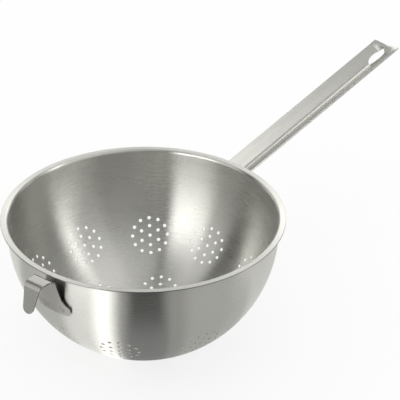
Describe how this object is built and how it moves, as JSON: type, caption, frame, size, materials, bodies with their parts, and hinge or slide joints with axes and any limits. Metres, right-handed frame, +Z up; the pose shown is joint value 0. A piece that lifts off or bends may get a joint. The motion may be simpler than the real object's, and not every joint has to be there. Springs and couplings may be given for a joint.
{
  "type": "strainer",
  "caption": "Round-bottomed stainless steel strainer with clustered perforations, a flat turned-out rim, a long gutter-shaped handle with a hanging hole and a pot hook opposite the handle.",
  "frame": {"origin": "centre of the underside of the flat base, on the bowl's axis", "axes": "+Z up along the bowl's axis, +X along the handle, the hook on the -X side"},
  "size_m": [0.5016, 0.24, 0.1443],
  "materials": {
    "bowl_steel": "satin stainless steel, brushed round the bowl's axis",
    "handle_steel": "satin stainless steel, brushed along the strip",
    "hook_steel": "satin stainless steel, brushed along the strip",
    "weld_steel": "dull spot-weld mark in stainless steel"
  },
  "bodies": {
    "root": {"bowl": "bowl_steel", "handle": "handle_steel", "handle_weld_1": "weld_steel", "handle_weld_2": "weld_steel", "handle_weld_3": "weld_steel", "handle_weld_4": "weld_steel", "hook": "hook_steel", "hook_weld_1": "weld_steel", "hook_weld_2": "weld_steel"}
  },
  "joints": []
}
